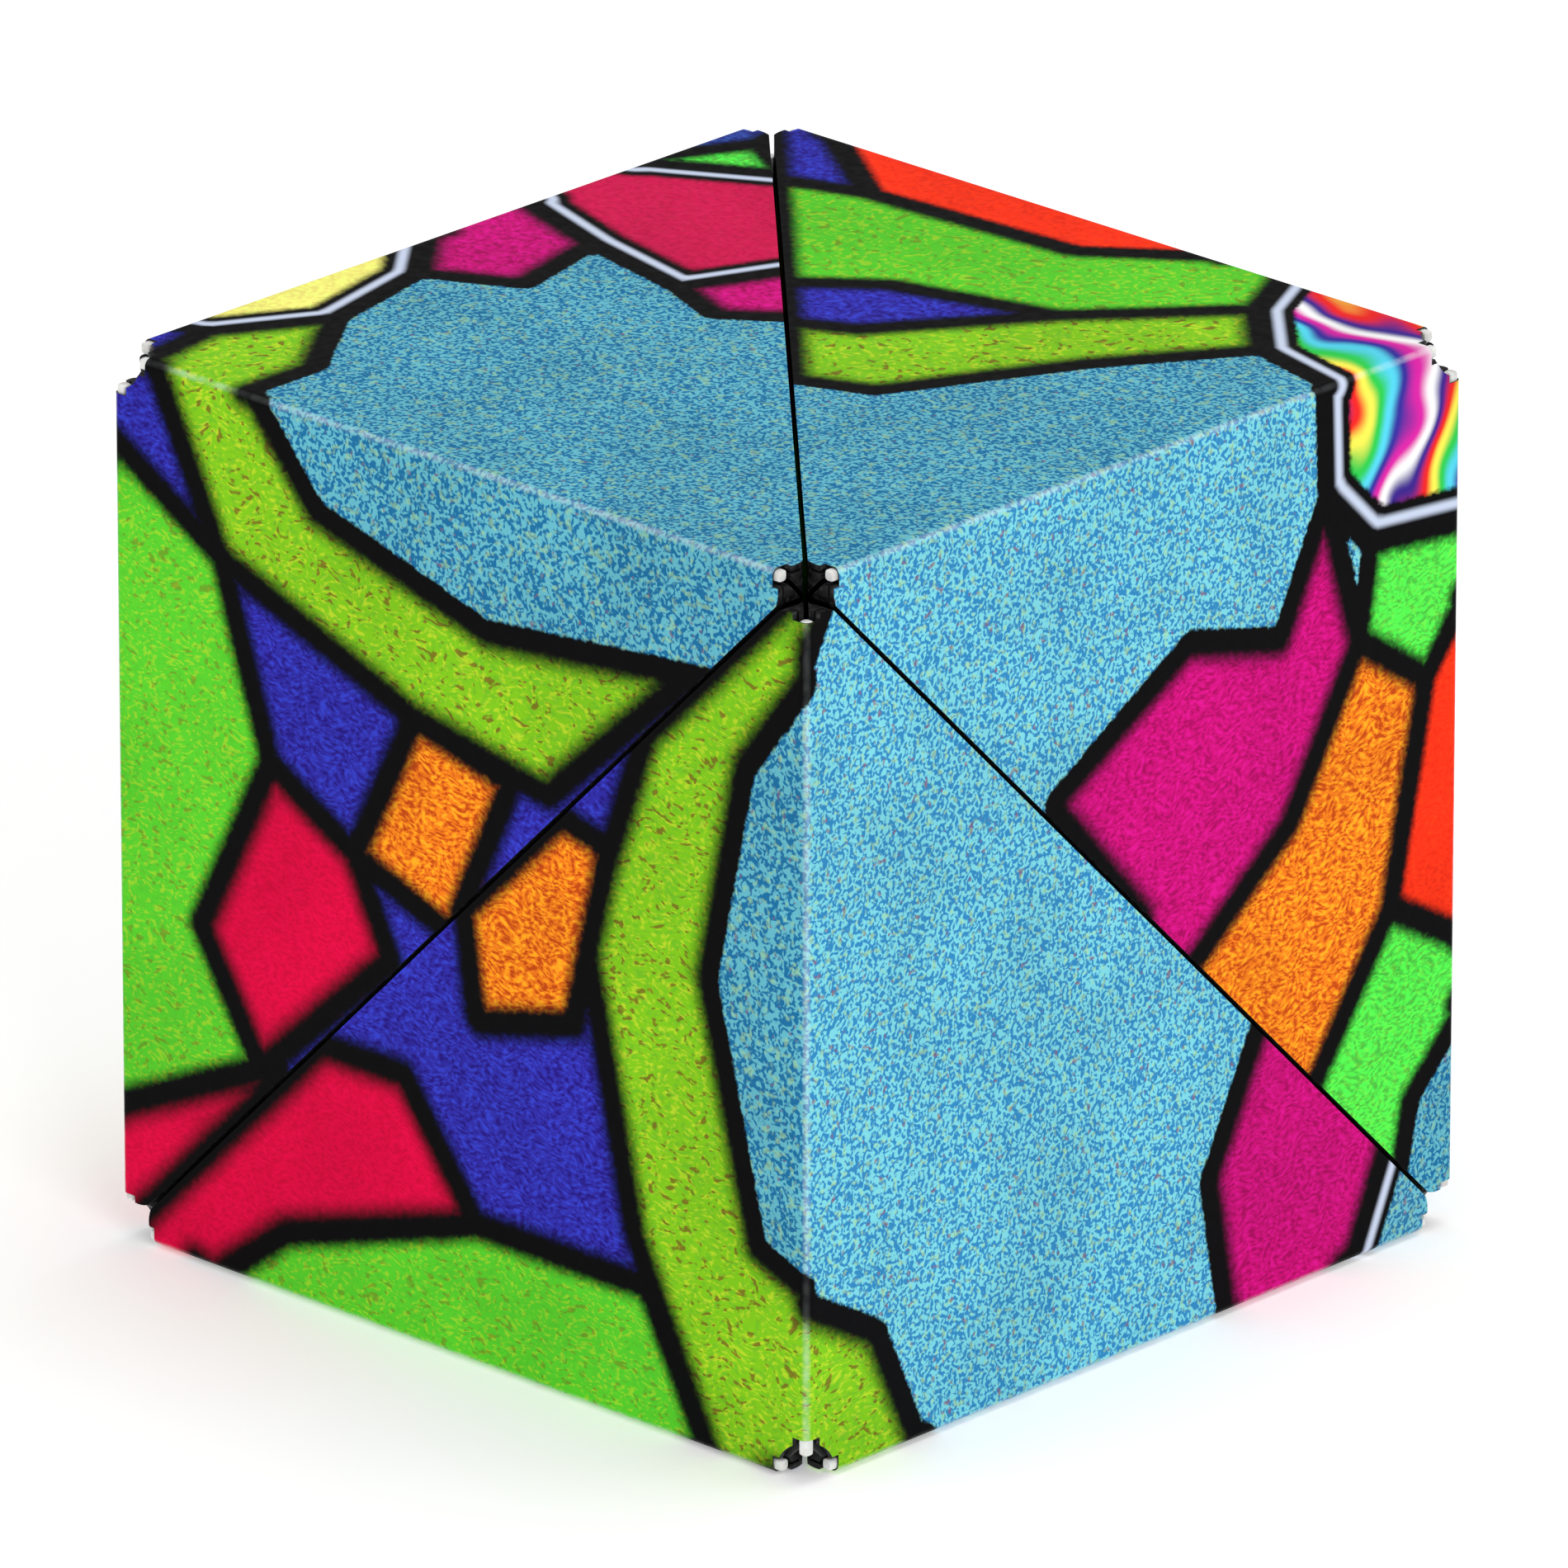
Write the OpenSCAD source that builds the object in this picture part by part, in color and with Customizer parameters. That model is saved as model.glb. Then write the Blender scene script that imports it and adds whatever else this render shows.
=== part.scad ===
// Magnetic folding cube puzzle: twelve equal pyramid modules, joined into a ring by film hinges
// along the cube's twelve edges. Shown closed, as a cube that stands on one face.

/* [Cube] */
// Outer size of the closed cube, over the printed film
cube_size = 57; // [50:0.5:70]
// Gap between a module's inner face and the plane it shares with the next module
half_gap = 0.15; // [0.1:0.05:0.3]

/* [Shell] */
// Wall thickness of the moulded housing
wall = 1.5; // [1.2:0.1:2]
// Thickness of the lid that closes the housing
lid_t = 1.6; // [1.2:0.1:2]
// Depth of the lid's locating lip inside the housing
lip_h = 1.6; // [1:0.1:1.8]
// Thickness of the locating lip
lip_t = 0.9; // [0.8:0.1:1.2]
// Sliding clearance around the lip
lip_gap = 0.1; // [0.05:0.05:0.2]

/* [Film] */
// Thickness of the printed film on the outer face
film_t = 0.35; // [0.3:0.05:0.4]
// Thickness of the printed film on the inner faces
skin_t = 0.2; // [0.15:0.05:0.3]

/* [Hinge] */
// Radius of the soft crease, and distance of the hinge axis below both outer faces
crease_r = 0.5; // [0.4:0.05:0.6]
// Running clearance around the crease
hinge_gap = 0.1; // [0.05:0.01:0.15]
// Width of the leaf bonded under the printed film
leaf_w = 2.5; // [2:0.5:4]
// Thickness of the bonded leaf
leaf_t = 0.15; // [0.1:0.05:0.2]
// Distance from a cube corner to the end of a crease
crease_end = 2; // [1:0.1:2.4]

/* [Corners] */
// Radius of the round cut-out at a module's square corner
hole_r = 2.2; // [1.8:0.1:2.8]
// Distance along the crease from a cube corner to where a sharp tip's rounding starts
tip_reach = 2.8; // [2.2:0.1:3]
// Radius of a sharp tip's rounded end
tip_r = 2.2; // [1.8:0.1:3]
// Height of the flat on the inner point, above the cube's centre
apex_cut = 2.4; // [2:0.1:4]

/* [Magnets] */
// Diameter of a disc magnet
magnet_d = 8; // [6:0.5:8]
// Thickness of a disc magnet
magnet_t = 2; // [1.5:0.5:2]
// Plastic left between a magnet and the inner film
magnet_floor = 0.8; // [0.6:0.1:1]
// Radial clearance of a magnet in its pocket
magnet_gap = 0.05; // [0.02:0.01:0.1]
// Wall of the boss around a magnet
boss_wall = 1.2; // [1:0.1:1.5]
// Distance from the crease to a magnet's centre, measured on a square-side inner face
side_magnet = 15.6; // [15:0.1:17]
// Distance from the cut edge to a magnet's centre, measured on the diagonal inner face
diag_magnet = 12.8; // [12:0.1:14]

/* [Hidden] */
$fn = 48;
h = cube_size / 2;
axis_h = h - crease_r;          // half-size of the cube that the hinge axes lie on
lid_top = h - film_t;           // underside of the outer film
lid_bottom = lid_top - lid_t;
core = half_gap + skin_t;       // depth of the plastic behind the shared planes
hollow = core + wall;           // depth of the housing's cavity behind the shared planes
boss_h = magnet_floor + magnet_t + 0.4 - wall;
black = [0.05, 0.05, 0.055];
white = [0.93, 0.93, 0.92];
steel = [0.72, 0.73, 0.75];
print = [0.16, 0.62, 0.68];

// Corners of the cube as signs. The ring of creases runs around six of them, and the other two,
// near and far, each end three creases.
near = [1, -1, 1];
far = [-1, 1, -1];
waist = [[1, -1, -1], [1, 1, -1], [1, 1, 1], [-1, 1, 1], [-1, -1, 1], [-1, -1, -1]];

count = 12;
NUMBERS = [for (k = [1 : count]) str(k < 10 ? "0" : "", k)];
KINDS = ["housing_", "lid_", "magnets_", "print_film_", "film_hinge_"];

// Corner of a waist place, counted around the ring
function corner(j) = waist[j % 6];
// The near or far corner that the crease at a waist place runs to
function pole(j) = j % 2 == 0 ? near : far;
// Waist place of module k's square corner
function place_of(k) = floor(k / 2);
// Square corner, first sharp corner and second sharp corner of module k, in ring order
function square_corner(k) = corner(place_of(k));
function first_corner(k) = k % 2 == 1 ? pole(place_of(k)) : corner(place_of(k) - 1);
function second_corner(k) = k % 2 == 1 ? corner(place_of(k) + 1) : pole(place_of(k));

// Moves a module from its own frame into the cube. In its own frame the cube's centre is the
// origin, the outer face is at z = h, the square corner is at (h, h, h) and the two creases run
// along X and Y. The first crease is the one along X on even modules and along Y on odd ones.
module place(k) {
    p = square_corner(k);
    q1 = k % 2 == 0 ? first_corner(k) : second_corner(k);
    q2 = k % 2 == 0 ? second_corner(k) : first_corner(k);
    x = (p - q1) / 2;
    y = (p - q2) / 2;
    z = (q1 + q2) / 2;
    translate([0, 0, h])
        multmatrix([[x.x, y.x, z.x, 0], [x.y, y.y, z.y, 0], [x.z, y.z, z.z, 0]])
            children();
}

// Pyramid below the plane z = top, set back from the planes through the two creases and from the
// diagonal plane
module pyramid(top, side, diag) {
    s = top - side * sqrt(2);
    d = diag * sqrt(2);
    polyhedron(
        points = [[s, s, top], [d - s, s, top], [s, d - s, top], [d / 2, d / 2, d / 2 + side * sqrt(2)]],
        faces = [[0, 2, 1], [0, 1, 3], [0, 3, 2], [1, 2, 3]]);
}

// Frame of the crease along X (first = true) or along Y: X along the crease, Y outward from the
// cube's centre, Z across the module
module crease_frame(first) {
    mirror(first ? [0, 0, 0] : [1, -1, 0])
        translate([0, axis_h, axis_h])
            rotate([45, 0, 0])
                children();
}

// Frame of an inner face's magnet, with Z pointing into the module. kind 0 and 1 are the faces
// behind the creases, and kind 2 is the diagonal face.
module magnet_frame(kind) {
    if (kind == 2)
        translate([0, 0, h - diag_magnet])
            rotate([0, 0, 45])
                rotate([0, 90, 0])
                    children();
    else
        mirror(kind == 0 ? [0, 0, 0] : [1, -1, 0])
            translate([0, h - side_magnet / sqrt(2), h - side_magnet / sqrt(2)])
                rotate([45, 0, 0])
                    children();
}

// Space along a crease that the neighbour needs: the crease itself, and the outer side of its axis
module crease_relief() {
    rotate([0, 90, 0])
        cylinder(r = crease_r + hinge_gap, h = 2 * cube_size, center = true);
    translate([-cube_size, -hinge_gap, -2])
        cube([2 * cube_size, 4, 5]);
}

// Cutter for the sharp tip at the far end of the crease along X
module tip_cutter() {
    start = [tip_reach - h, h];
    end = [tip_reach - h, h - tip_reach];
    chord = end - start;
    half = norm(chord) / 2;
    out = [chord.y, -chord.x] / norm(chord);
    centre = (start + end) / 2 - out * sqrt(tip_r * tip_r - half * half);
    translate([0, 0, h / 2])
        linear_extrude(h)
            difference() {
                translate((start + end) / 2)
                    rotate(atan2(out.y, out.x))
                        translate([0, -2 * half])
                            square([6, 4 * half]);
                translate(centre)
                    circle(r = tip_r);
            }
}

// Openings at the three outer corners and the flat on the inner point
module corner_cutters(grow = 0) {
    translate([h, h, h / 2])
        cylinder(r = hole_r + grow, h = h);
    tip_cutter();
    mirror([1, -1, 0])
        tip_cutter();
    translate([-h, -h, -h])
        cube([cube_size, cube_size, h + apex_cut + grow]);
}

// A body trimmed to clear its neighbours along both creases and at the corners
module trimmed(grow = 0) {
    difference() {
        children();
        crease_frame(true) crease_relief();
        crease_frame(false) crease_relief();
        corner_cutters(grow);
    }
}

// The bonded leaf of a crease, flush with the lid's top
module leaf() {
    intersection() {
        pyramid(lid_top, core, core);
        translate([-h, axis_h - leaf_w, lid_top - leaf_t])
            cube([cube_size, leaf_w, leaf_t]);
    }
}

module both_leaves() {
    leaf();
    mirror([1, -1, 0])
        leaf();
}

// Three-walled moulded cup with a boss and pocket for each magnet
module housing() {
    color(black)
        trimmed()
            difference() {
                union() {
                    difference() {
                        pyramid(lid_bottom, core, core);
                        pyramid(lid_bottom + 1, hollow, hollow);
                    }
                    for (kind = [0 : 2])
                        magnet_frame(kind)
                            translate([0, 0, hollow - 0.3])
                                cylinder(d = magnet_d + 2 * boss_wall, h = boss_h + 0.3);
                }
                for (kind = [0 : 2])
                    magnet_frame(kind)
                        translate([0, 0, core + magnet_floor])
                            cylinder(r = magnet_d / 2 + magnet_gap, h = 10);
            }
}

// Outer face plate with a locating lip that plugs into the housing
module lid() {
    lip_out = hollow + lip_gap;
    color(black)
        trimmed()
            difference() {
                union() {
                    intersection() {
                        pyramid(lid_top, core, core);
                        translate([-h, -h, lid_bottom])
                            cube([cube_size, cube_size, lid_t]);
                    }
                    difference() {
                        intersection() {
                            pyramid(lid_bottom + 0.3, lip_out, lip_out);
                            translate([-h, -h, lid_bottom - lip_h])
                                cube([cube_size, cube_size, lip_h + 0.3]);
                        }
                        pyramid(lid_bottom, lip_out + lip_t, lip_out + lip_t);
                    }
                }
                both_leaves();
            }
}

// Three disc magnets, one behind each inner face
module magnets() {
    color(steel)
        for (kind = [0 : 2])
            magnet_frame(kind)
                translate([0, 0, core + magnet_floor])
                    cylinder(d = magnet_d, h = magnet_t);
}

// Printed film wrapped over the outer face and the three inner faces
module print_film() {
    color(print)
        trimmed(0.3)
            difference() {
                pyramid(h, half_gap, half_gap);
                pyramid(lid_top, core, core);
            }
}

// Crease bead on the module's first crease, with the leaves bonded under the film at both creases
module film_hinge(first) {
    color(white) {
        difference() {
            union() {
                crease_frame(first)
                    rotate([0, 90, 0])
                        cylinder(r = crease_r, h = cube_size - 2 * crease_end, center = true);
                mirror(first ? [0, 0, 0] : [1, -1, 0])
                    leaf();
            }
            crease_frame(!first) crease_relief();
            corner_cutters(-0.8);
        }
        trimmed()
            mirror(first ? [1, -1, 0] : [0, 0, 0])
                leaf();
    }
}

for (k = [1 : count]) {
    place(k) housing();
    place(k) lid();
    place(k) magnets();
    place(k) print_film();
    place(k) film_hinge(k % 2 == 0);
}
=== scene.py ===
"""Looks of a magnetic folding cube puzzle: printed laminate over twelve pyramid modules, with
printed film creases along the cube's edges, white crease cores and black moulded housings."""

import math

import bmesh
import bpy
import numpy as np
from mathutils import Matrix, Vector
from mathutils.geometry import delaunay_2d_cdt
from mathutils.kdtree import KDTree


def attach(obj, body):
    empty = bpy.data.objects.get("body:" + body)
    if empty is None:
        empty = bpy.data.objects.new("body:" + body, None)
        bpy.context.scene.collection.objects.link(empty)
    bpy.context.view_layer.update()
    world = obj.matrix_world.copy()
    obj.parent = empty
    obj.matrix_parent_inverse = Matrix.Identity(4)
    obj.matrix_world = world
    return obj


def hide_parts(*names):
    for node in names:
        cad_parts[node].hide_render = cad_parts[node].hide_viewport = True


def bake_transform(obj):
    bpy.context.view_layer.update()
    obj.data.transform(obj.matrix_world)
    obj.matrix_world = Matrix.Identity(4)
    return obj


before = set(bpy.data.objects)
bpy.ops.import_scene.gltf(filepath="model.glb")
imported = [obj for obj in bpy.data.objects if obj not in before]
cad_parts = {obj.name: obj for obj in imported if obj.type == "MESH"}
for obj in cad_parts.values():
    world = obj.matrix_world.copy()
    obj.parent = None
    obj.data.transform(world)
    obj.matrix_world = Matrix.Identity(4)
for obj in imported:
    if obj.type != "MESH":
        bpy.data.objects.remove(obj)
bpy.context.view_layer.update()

MM = 0.001
COUNT = 12
HALF = 28.5          # half the cube's edge, mm
CREASE_R = 0.5       # radius of a crease, mm
AXIS = HALF - CREASE_R
SEAM = 27.36         # where the face film ends and the crease film starts, mm from the centre
OPEN_PIVOT = 3       # the crease where the ring is open in the joint tree
WELD = 2e-6          # points closer than this are one point, m
CENTRE = np.array([0.0, 0.0, HALF])

# ---------------------------------------------------------------- the ring of modules

WAIST = [(1, -1, -1), (1, 1, -1), (1, 1, 1), (-1, 1, 1), (-1, -1, 1), (-1, -1, -1)]
NEAR = (1, -1, 1)
FAR = (-1, 1, -1)


def waist(j):
    """Corner j of the six cube corners around the waist."""
    return np.array(WAIST[j % 6], float)


def pole(j):
    """The near or the far corner, which the cuts run through."""
    return np.array(NEAR if j % 2 == 0 else FAR, float)


def module_axes(k):
    """Columns x, y, z of module k's own frame: creases run along x and y, and z points out."""
    j = k // 2
    first, second = (pole(j), waist(j + 1)) if k % 2 else (waist(j - 1), pole(j))
    q1, q2 = (first, second) if k % 2 == 0 else (second, first)
    return np.stack([(waist(j) - q1) / 2, (waist(j) - q2) / 2, (q1 + q2) / 2], axis=1)


def neighbour(k, step):
    """The module that many steps along the ring from module k."""
    return (k - 1 + step) % COUNT + 1


def body(k):
    return "module_%02d" % k


# ---------------------------------------------------------------- the print

# tint (sRGB), outline half width and softness in mm, pale line, (maze, speckle, streak), stripes
INKS = {
    "aqua": ((92, 187, 206), 0.72, 0.25, 0, (1.0, 0, 0), 0),
    "sea": ((48, 143, 172), 0.72, 0.25, 0, (0.8, 0, 0), 0),
    "lime": ((132, 204, 28), 0.45, 1.60, 0, (0, 1.0, 0), 0),
    "green": ((90, 211, 46), 0.50, 1.20, 0, (0, 0.6, 0), 0),
    "leaf": ((84, 236, 78), 0.50, 1.10, 0, (0, 0.15, 0.5), 0),
    "indigo": ((50, 46, 172), 0.50, 1.30, 0, (0, 0, 1.0), 0),
    "crimson": ((225, 4, 66), 0.45, 1.70, 0, (0, 0, 0.35), 0),
    "ruby": ((210, 22, 80), 1.90, 0.90, 1, (0, 0, 0.35), 0),
    "magenta": ((205, 10, 120), 0.45, 1.50, 0, (0, 0, 0.9), 0),
    "orange": ((246, 126, 26), 0.50, 1.20, 0, (0, 0, 1.2), 0),
    "red": ((255, 52, 20), 0.60, 0.80, 0, (0, 0, 0.3), 0),
    "yellow": ((255, 250, 130), 1.90, 0.90, 1, (0, 0, 0.2), 0),
    "blue": ((50, 70, 160), 0.60, 1.10, 0, (0, 0, 0.8), 0),
    "foam": ((72, 150, 176), 1.90, 0.40, 1, (0.8, 0, 0), 0),
    "prism": ((250, 250, 250), 2.00, 0.40, 1, (0, 0, 0), 1),
}

# A cube face's own square: its origin corner as signs, and the directions of u and v, in mm
SIDES = {
    "front": ((-1, -1, -1), (1, 0, 0), (0, 0, 1)),
    "right": ((1, -1, -1), (0, 1, 0), (0, 0, 1)),
    "top": ((-1, -1, 1), (1, 0, 0), (0, 1, 0)),
    "back": ((1, 1, -1), (-1, 0, 0), (0, 0, 1)),
    "left": ((-1, 1, -1), (0, -1, 0), (0, 0, 1)),
    "base": ((-1, 1, -1), (1, 0, 0), (0, -1, 0)),
}

# Each module's half face: its square, its ground colour, and straight-sided panels laid over it
PANELS = {
    1: ("right", "aqua", [
        ("lime", [(-1, 60), (2.6, 57), (-1, 50)]),
        ("lime", [(-1, 12), (6, 8), (10, -1), (-1, -1)]),
        ("magenta", [(40, 19), (35, 9), (37, -2), (60, -2), (60, 10)]),
        ("foam", [(47, -2), (51, 7), (60, 4), (60, -2)]),
    ]),
    2: ("base", "indigo", [
        ("lime", [(58, 58), (58, 47), (48, 43), (44, 47)]),
        ("aqua", [(58, 47), (58, 20), (46, 22), (34, 36), (44, 47), (48, 43)]),
        ("magenta", [(58, 20), (58, 10), (48, 10), (38, 16), (46, 22)]),
        ("foam", [(58, 10), (58, -1), (45, -1), (48, 10)]),
        ("lime", [(45, -1), (21, -1), (28, 10), (48, 10)]),
        ("green", [(21, -1), (-1, -1), (20, 20), (28, 10)]),
        ("orange", [(28, 10), (48, 10), (38, 16), (30, 20)]),
    ]),
    3: ("back", "indigo", [
        ("sea", [(-1, -1), (-1, 14), (8, 16), (16, 8), (12, -1)]),
        ("leaf", [(-1, 14), (-1, 18), (10, 22), (8, 16)]),
        ("red", [(-1, 18), (-1, 41), (6, 38), (10, 22)]),
        ("leaf", [(-1, 41), (6, 38), (10, 46), (6, 46), (-1, 46)]),
        ("prism", [(-1, 45), (-1, 58), (9, 50), (6, 46)]),
        ("lime", [(12, -1), (16, 8), (30, 10), (36, -1)]),
        ("aqua", [(16, 8), (8, 16), (10, 22), (22, 34), (36, 22), (30, 10)]),
        ("green", [(36, -1), (30, 10), (36, 22), (60, -1)]),
    ]),
    4: ("right", "aqua", [
        ("magenta", [(21, 37), (33, 44), (41, 42), (45, 50), (48, 40), (42, 30), (33, 23)]),
        ("orange", [(33, 23), (42, 30), (48, 40), (54, 36), (51, 22), (44, 12)]),
        ("leaf", [(44, 12), (51, 22), (58, 18), (58, 14), (53, 9), (52, 4)]),
        ("red", [(58, 41), (54, 36), (51, 22), (58, 18)]),
        ("leaf", [(48, 40), (49, 46), (58, 46), (58, 41), (54, 36)]),
        ("sea", [(58, 14), (53, 9), (52, 4), (60, -3)]),
        ("prism", [(44.6, 60), (45, 50), (49, 46), (60, 45), (60, 60)]),
    ]),
    5: ("top", "sea", [
        ("red", [(4, 58), (14, 51), (30, 52), (38, 58)]),
        ("green", [(8, 49), (14, 51), (30, 52), (38, 58), (42, 58), (45, 52), (37, 43), (26, 40),
                   (21, 36)]),
        ("indigo", [(21, 36), (26, 40), (37, 43), (30, 33), (26, 31)]),
        ("lime", [(26, 31), (30, 33), (37, 43), (45, 52), (50, 47), (44, 38), (38, 26), (33, 24)]),
        ("prism", [(42, 58), (45, 52), (50, 47), (58, 45), (58, 58)]),
        ("indigo", [(-1, 58), (4, 58), (14, 51), (8, 49)]),
    ]),
    6: ("back", "sea", [
        ("prism", [(-1, 58), (15, 58), (12, 51), (4, 52)]),
        ("red", [(19, 58), (53, 58), (48, 50), (22, 50)]),
        ("blue", [(53, 58), (58, 58), (58, 44), (48, 50)]),
        ("lime", [(58, 44), (58, 22), (46, 28), (44, 42), (48, 50)]),
        ("magenta", [(58, 22), (58, 4), (50, 6), (46, 28)]),
        ("green", [(22, 50), (48, 50), (44, 42), (30, 38), (16, 42)]),
        ("orange", [(44, 42), (46, 28), (36, 20), (30, 38)]),
    ]),
    7: ("left", "sea", [
        ("blue", [(-1, 58), (-1, 44), (8, 44), (12, 58)]),
        ("ruby", [(12, 58), (8, 44), (18, 42), (21, 58)]),
        ("magenta", [(21, 58), (18, 42), (26, 46), (29, 58)]),
        ("yellow", [(29, 58), (26, 46), (40, 46), (50, 50), (52, 58)]),
        ("indigo", [(52, 58), (50, 50), (58, 57)]),
        ("lime", [(-1, 44), (8, 44), (14, 30), (-1, 22)]),
        ("orange", [(-1, 22), (14, 30), (12, 10), (-1, 4)]),
    ]),
    8: ("top", "sea", [
        ("ruby", [(-1, 45), (8, 50), (20, 38), (17, 31), (8, 33), (-1, 36)]),
        ("magenta", [(17, 31), (20, 38), (26, 32), (22, 29)]),
        ("magenta", [(-1, 36), (8, 33), (10, 25), (4, 22), (-1, 28)]),
        ("yellow", [(-1, 28), (4, 22), (6, 13), (2, 6), (-1, 5)]),
        ("lime", [(2, 6), (6, 13), (11, 6), (11, -1), (3, -1)]),
        ("indigo", [(-1, 5), (2, 6), (3, -1), (-1, -1)]),
        ("leaf", [(-1, 45), (3, 53), (8, 50)]),
        ("blue", [(-1, 45), (3, 53), (2, 58), (-1, 58)]),
    ]),
    9: ("front", "indigo", [
        ("lime", [(3, 58), (9, 46), (25, 40), (36, 38), (60, 60)]),
        ("sea", [(11, 58), (17, 51), (31, 47), (52, 49), (60, 58)]),
        ("orange", [(25, 40), (33, 38), (28, 27), (20, 30)]),
        ("green", [(-1, 52), (9, 46), (13, 34), (7, 22), (12, 14), (-1, 8)]),
        ("crimson", [(13, 34), (20, 30), (23, 24), (12, 14), (7, 22)]),
        ("crimson", [(-1, 8), (12, 14), (14, 14), (-1, -1)]),
        ("indigo", [(-1, 52), (9, 46), (3, 58), (-1, 58)]),
    ]),
    10: ("left", "aqua", [
        ("green", [(58, 8), (58, 52), (50, 44), (44, 30), (48, 12)]),
        ("indigo", [(58, 52), (50, 44), (54, 56), (58, 58)]),
        ("crimson", [(58, 8), (48, 12), (42, -1), (58, -1)]),
        ("orange", [(42, -1), (48, 12), (44, 30), (34, 20), (30, -1)]),
        ("indigo", [(44, 30), (50, 44), (42, 44), (34, 20)]),
        ("lime", [(30, -1), (34, 20), (20, 24), (8, -1)]),
    ]),
    11: ("base", "indigo", [
        ("crimson", [(-1, 58), (6, 58), (10, 48), (-1, 42)]),
        ("orange", [(-1, 42), (10, 48), (14, 36), (-1, 30)]),
        ("lime", [(-1, 30), (14, 36), (12, 18), (-1, 8)]),
        ("green", [(6, 58), (50, 58), (40, 50), (24, 46), (10, 48)]),
        ("lime", [(50, 58), (40, 50), (58, 58)]),
        ("aqua", [(14, 36), (10, 48), (24, 46), (36, 46), (28, 28)]),
    ]),
    12: ("front", "indigo", [
        ("lime", [(60, 60), (44, 44), (39, 30), (43, 12), (50, -2), (60, -2)]),
        ("sea", [(58, 52), (52, 44), (49, 30), (53, 14), (58, 12)]),
        ("orange", [(29, 29), (37, 37), (41, 36), (38, 24), (30, 22)]),
        ("crimson", [(-1, -1), (17, 17), (24, 17), (30, 9), (14, 4), (6, -2)]),
        ("green", [(6, -2), (14, 4), (30, 9), (44, 9), (50, -2)]),
    ]),
}

# Panels of the inner faces, laid out from the middle of a face's outer edge, in mm
INNER_PANELS = [
    [(-42, -1), (-12, -1), (-8, 13), (-22, 12), (-30, 16)],
    [(-12, -1), (9, -1), (5, 9), (-8, 13)],
    [(9, -1), (42, -1), (20, 17), (5, 9)],
    [(-8, 13), (5, 9), (20, 17), (6, 24), (-6, 22)],
    [(-6, 22), (6, 24), (12, 42), (-12, 42)],
    [(-42, 42), (-30, 16), (-22, 12), (-8, 13), (-6, 22), (-12, 42)],
]
INNER_INKS = ["crimson", "green", "indigo", "orange", "lime", "blue", "magenta"]


def inside(points, polygon):
    """Which of the points lie in the polygon."""
    x, y = points[:, 0], points[:, 1]
    within = np.zeros(len(points), bool)
    for (x0, y0), (x1, y1) in zip(polygon, polygon[1:] + polygon[:1]):
        if y0 == y1:
            continue
        crosses = (y0 > y) != (y1 > y)
        within ^= crosses & (x < (x1 - x0) * (y - y0) / (y1 - y0) + x0)
    return within


def panel_at(points, panels):
    """The last panel that covers each point, or -1 for the ground."""
    found = np.full(len(points), -1)
    for index, polygon in enumerate(panels):
        found[inside(points, polygon)] = index
    return found


def outline(panels, step=0.25, aside=0.04):
    """Points along the panels' edges, where the panel on one side differs from the other."""
    kept = []
    for polygon in panels:
        for a, b in zip(polygon, polygon[1:] + polygon[:1]):
            a, b = np.array(a, float), np.array(b, float)
            length = np.linalg.norm(b - a)
            along = np.linspace(0, 1, max(2, int(length / step)))[:, None]
            line = a + (b - a) * along
            across = np.array([a[1] - b[1], b[0] - a[0]]) / length * aside
            kept.append(line[panel_at(line + across, panels) != panel_at(line - across, panels)])
    return np.concatenate(kept)


def square(side):
    origin, u, v = (np.array(a, float) for a in SIDES[side])
    return origin * HALF, u, v


def to_square(points, side):
    """u and v of points given from the cube's centre, in mm."""
    origin, u, v = square(side)
    return np.stack([(points - origin) @ u, (points - origin) @ v], axis=1)


SQUARE_MARGIN = 0.3  # panel edges further than this outside the face's square are dropped, mm
HALF_MARGIN = 40     # how far panel edges may pass the face's cut, as a difference of squares, mm2


def face_outline(k):
    """The panel edges on module k's half face, as points from the cube's centre."""
    side, _, rows = PANELS[k]
    flat = outline([polygon for _, polygon in rows])
    flat = flat[(flat > -SQUARE_MARGIN).all(1) & (flat < 2 * HALF + SQUARE_MARGIN).all(1)]
    origin, u, v = square(side)
    points = origin + flat[:, :1] * u + flat[:, 1:] * v
    corner = module_axes(k) @ np.ones(3) * HALF
    other = module_axes(k) @ np.array([-1, -1, 1]) * HALF
    nearer = ((points - corner) ** 2).sum(1) <= ((points - other) ** 2).sum(1) + HALF_MARGIN
    return points[nearer]


FACE_OUTLINES = {k: face_outline(k) for k in PANELS}


def tree_of(points):
    tree = KDTree(len(points))
    for i, p in enumerate(points):
        tree.insert(p, i)
    tree.balance()
    return tree


def distances(points, tree):
    return np.array([tree.find(p)[2] for p in points])


def face_print(points, k, tree):
    """Ink name and distance to the nearest panel edge, for points on module k's outer face."""
    side, ground, rows = PANELS[k]
    found = panel_at(to_square(points, side), [polygon for _, polygon in rows])
    names = [ground if i < 0 else rows[i][0] for i in found]
    return names, distances(points, tree)


def edge_tree(*modules):
    return tree_of(np.concatenate([FACE_OUTLINES[k] for k in modules]))


def inner_print(flat, turn):
    """Ink name and edge distance for points on an inner face, by a turn of the ink list."""
    found = panel_at(flat, INNER_PANELS)
    names = [INNER_INKS[(turn + 2 * i) % len(INNER_INKS)] for i in found]
    edge = outline(INNER_PANELS)
    tree = tree_of(np.hstack([edge, np.zeros((len(edge), 1))]))
    return names, distances(np.hstack([flat, np.zeros((len(flat), 1))]), tree)


def linear(rgb):
    """Linear colour of an sRGB colour from 0 to 255."""
    c = np.array(rgb, float) / 255
    return np.where(c <= 0.04045, c / 12.92, ((c + 0.055) / 1.055) ** 2.4)


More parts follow.
